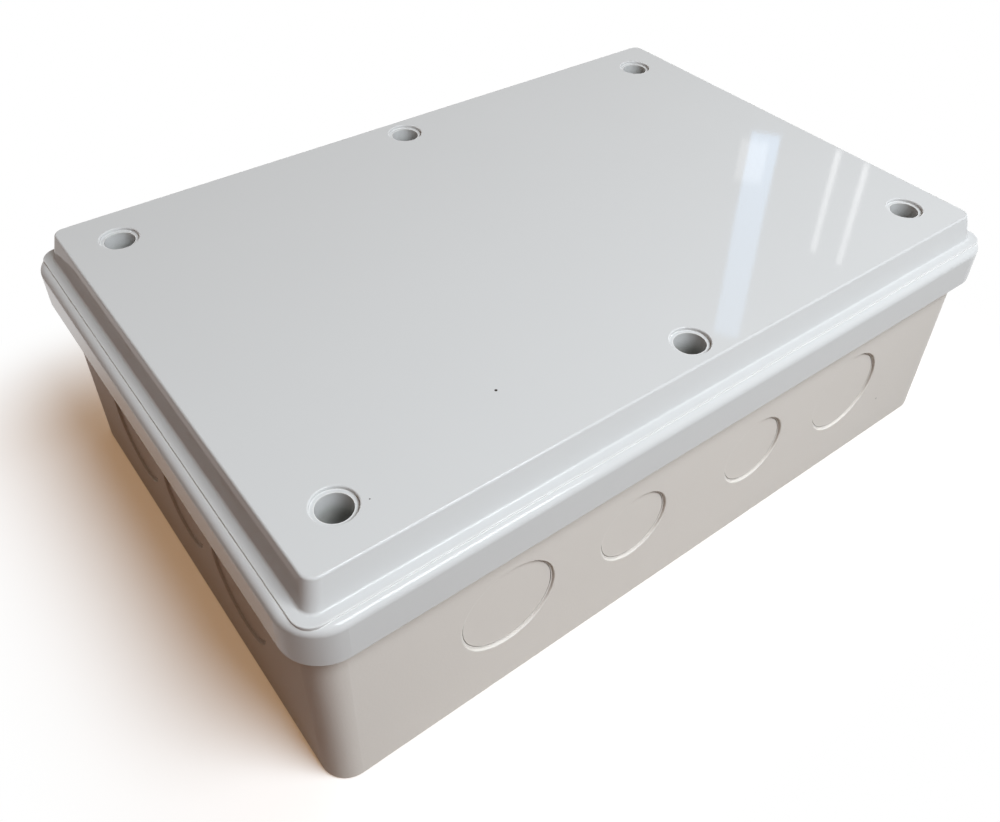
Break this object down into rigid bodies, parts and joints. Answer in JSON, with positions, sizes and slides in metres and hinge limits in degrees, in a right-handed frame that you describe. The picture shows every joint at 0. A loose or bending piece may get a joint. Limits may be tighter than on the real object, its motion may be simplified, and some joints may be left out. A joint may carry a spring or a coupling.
{
  "type": "adaptable box",
  "caption": "Rectangular plastic adaptable box with round knockout cable entries in its walls and a deep skirted lid held by recessed screws.",
  "frame": {"origin": "centre of the underside of the box, where it meets the wall or bench", "axes": "+X along the long side, +Y along the short side, +Z from the underside up through the lid"},
  "size_m": [0.225, 0.153, 0.072],
  "materials": {
    "base_plastic": "satin moulded",
    "lid_plastic": "gloss moulded",
    "seal_rubber": "matte foam rubber",
    "zinc_steel": "bright zinc plated",
    "washer_nylon": "natural nylon",
    "insert_brass": "turned"
  },
  "bodies": {
    "base": {"base": "base_plastic", "thread_insert_1": "insert_brass", "thread_insert_2": "insert_brass", "thread_insert_3": "insert_brass", "thread_insert_4": "insert_brass", "thread_insert_5": "insert_brass", "thread_insert_6": "insert_brass"},
    "lid": {"lid": "lid_plastic", "lid_gasket": "seal_rubber"},
    "seal_1": {"screw_washer_1": "washer_nylon"},
    "screw_1": {"lid_screw_1": "zinc_steel"},
    "seal_2": {"screw_washer_2": "washer_nylon"},
    "screw_2": {"lid_screw_2": "zinc_steel"},
    "seal_3": {"screw_washer_3": "washer_nylon"},
    "screw_3": {"lid_screw_3": "zinc_steel"},
    "seal_4": {"screw_washer_4": "washer_nylon"},
    "screw_4": {"lid_screw_4": "zinc_steel"},
    "seal_5": {"screw_washer_5": "washer_nylon"},
    "screw_5": {"lid_screw_5": "zinc_steel"},
    "seal_6": {"screw_washer_6": "washer_nylon"},
    "screw_6": {"lid_screw_6": "zinc_steel"},
    "knockout_front_1": {"knockout_front_1": "base_plastic"},
    "knockout_front_2": {"knockout_front_2": "base_plastic"},
    "knockout_front_3": {"knockout_front_3": "base_plastic"},
    "knockout_front_4": {"knockout_front_4": "base_plastic"},
    "knockout_back_1": {"knockout_back_1": "base_plastic"},
    "knockout_back_2": {"knockout_back_2": "base_plastic"},
    "knockout_back_3": {"knockout_back_3": "base_plastic"},
    "knockout_back_4": {"knockout_back_4": "base_plastic"},
    "knockout_left_1": {"knockout_left_1": "base_plastic"},
    "knockout_left_2": {"knockout_left_2": "base_plastic"},
    "knockout_left_3": {"knockout_left_3": "base_plastic"},
    "knockout_right_1": {"knockout_right_1": "base_plastic"},
    "knockout_right_2": {"knockout_right_2": "base_plastic"},
    "knockout_right_3": {"knockout_right_3": "base_plastic"}
  },
  "joints": [
    {"name": "lid_lift", "type": "slide", "parent": "base", "child": "lid", "axis": [0, 0, 1], "range_m": [0, 0.06]},
    {"name": "screw_1_rise", "type": "slide", "parent": "lid", "child": "seal_1", "axis": [0, 0, 1], "range_m": [0, 0.0168]},
    {"name": "screw_1_turn", "type": "hinge", "parent": "seal_1", "child": "screw_1", "pos_m": [-0.0929, -0.0569, 0.06], "axis": [0, 0, 1], "range_deg": [0, 8650]},
    {"name": "screw_2_rise", "type": "slide", "parent": "lid", "child": "seal_2", "axis": [0, 0, 1], "range_m": [0, 0.0168]},
    {"name": "screw_2_turn", "type": "hinge", "parent": "seal_2", "child": "screw_2", "pos_m": [0, -0.0626, 0.06], "axis": [0, 0, 1], "range_deg": [0, 8650]},
    {"name": "screw_3_rise", "type": "slide", "parent": "lid", "child": "seal_3", "axis": [0, 0, 1], "range_m": [0, 0.0168]},
    {"name": "screw_3_turn", "type": "hinge", "parent": "seal_3", "child": "screw_3", "pos_m": [0.0929, -0.0569, 0.06], "axis": [0, 0, 1], "range_deg": [0, 8650]},
    {"name": "screw_4_rise", "type": "slide", "parent": "lid", "child": "seal_4", "axis": [0, 0, 1], "range_m": [0, 0.0168]},
    {"name": "screw_4_turn", "type": "hinge", "parent": "seal_4", "child": "screw_4", "pos_m": [0.0929, 0.0569, 0.06], "axis": [0, 0, 1], "range_deg": [0, 8650]},
    {"name": "screw_5_rise", "type": "slide", "parent": "lid", "child": "seal_5", "axis": [0, 0, 1], "range_m": [0, 0.0168]},
    {"name": "screw_5_turn", "type": "hinge", "parent": "seal_5", "child": "screw_5", "pos_m": [0, 0.0626, 0.06], "axis": [0, 0, 1], "range_deg": [0, 8650]},
    {"name": "screw_6_rise", "type": "slide", "parent": "lid", "child": "seal_6", "axis": [0, 0, 1], "range_m": [0, 0.0168]},
    {"name": "screw_6_turn", "type": "hinge", "parent": "seal_6", "child": "screw_6", "pos_m": [-0.0929, 0.0569, 0.06], "axis": [0, 0, 1], "range_deg": [0, 8650]},
    {"name": "push_out_front_1", "type": "slide", "parent": "base", "child": "knockout_front_1", "axis": [0, 1, 0.0096], "range_m": [0, 0.008]},
    {"name": "push_out_front_2", "type": "slide", "parent": "base", "child": "knockout_front_2", "axis": [0, 1, 0.0096], "range_m": [0, 0.008]},
    {"name": "push_out_front_3", "type": "slide", "parent": "base", "child": "knockout_front_3", "axis": [0, 1, 0.0096], "range_m": [0, 0.008]},
    {"name": "push_out_front_4", "type": "slide", "parent": "base", "child": "knockout_front_4", "axis": [0, 1, 0.0096], "range_m": [0, 0.008]},
    {"name": "push_out_back_1", "type": "slide", "parent": "base", "child": "knockout_back_1", "axis": [0, -1, 0.0096], "range_m": [0, 0.008]},
    {"name": "push_out_back_2", "type": "slide", "parent": "base", "child": "knockout_back_2", "axis": [0, -1, 0.0096], "range_m": [0, 0.008]},
    {"name": "push_out_back_3", "type": "slide", "parent": "base", "child": "knockout_back_3", "axis": [0, -1, 0.0096], "range_m": [0, 0.008]},
    {"name": "push_out_back_4", "type": "slide", "parent": "base", "child": "knockout_back_4", "axis": [0, -1, 0.0096], "range_m": [0, 0.008]},
    {"name": "push_out_left_1", "type": "slide", "parent": "base", "child": "knockout_left_1", "axis": [1, 0, 0.0096], "range_m": [0, 0.008]},
    {"name": "push_out_left_2", "type": "slide", "parent": "base", "child": "knockout_left_2", "axis": [1, 0, 0.0096], "range_m": [0, 0.008]},
    {"name": "push_out_left_3", "type": "slide", "parent": "base", "child": "knockout_left_3", "axis": [1, 0, 0.0096], "range_m": [0, 0.008]},
    {"name": "push_out_right_1", "type": "slide", "parent": "base", "child": "knockout_right_1", "axis": [-1, 0, 0.0096], "range_m": [0, 0.008]},
    {"name": "push_out_right_2", "type": "slide", "parent": "base", "child": "knockout_right_2", "axis": [-1, 0, 0.0096], "range_m": [0, 0.008]},
    {"name": "push_out_right_3", "type": "slide", "parent": "base", "child": "knockout_right_3", "axis": [-1, 0, 0.0096], "range_m": [0, 0.008]}
  ],
  "couplings": [
    {"joint": "screw_1_turn", "follows": "screw_1_rise", "rad_per_m": 8976},
    {"joint": "screw_2_turn", "follows": "screw_2_rise", "rad_per_m": 8976},
    {"joint": "screw_3_turn", "follows": "screw_3_rise", "rad_per_m": 8976},
    {"joint": "screw_4_turn", "follows": "screw_4_rise", "rad_per_m": 8976},
    {"joint": "screw_5_turn", "follows": "screw_5_rise", "rad_per_m": 8976},
    {"joint": "screw_6_turn", "follows": "screw_6_rise", "rad_per_m": 8976}
  ]
}
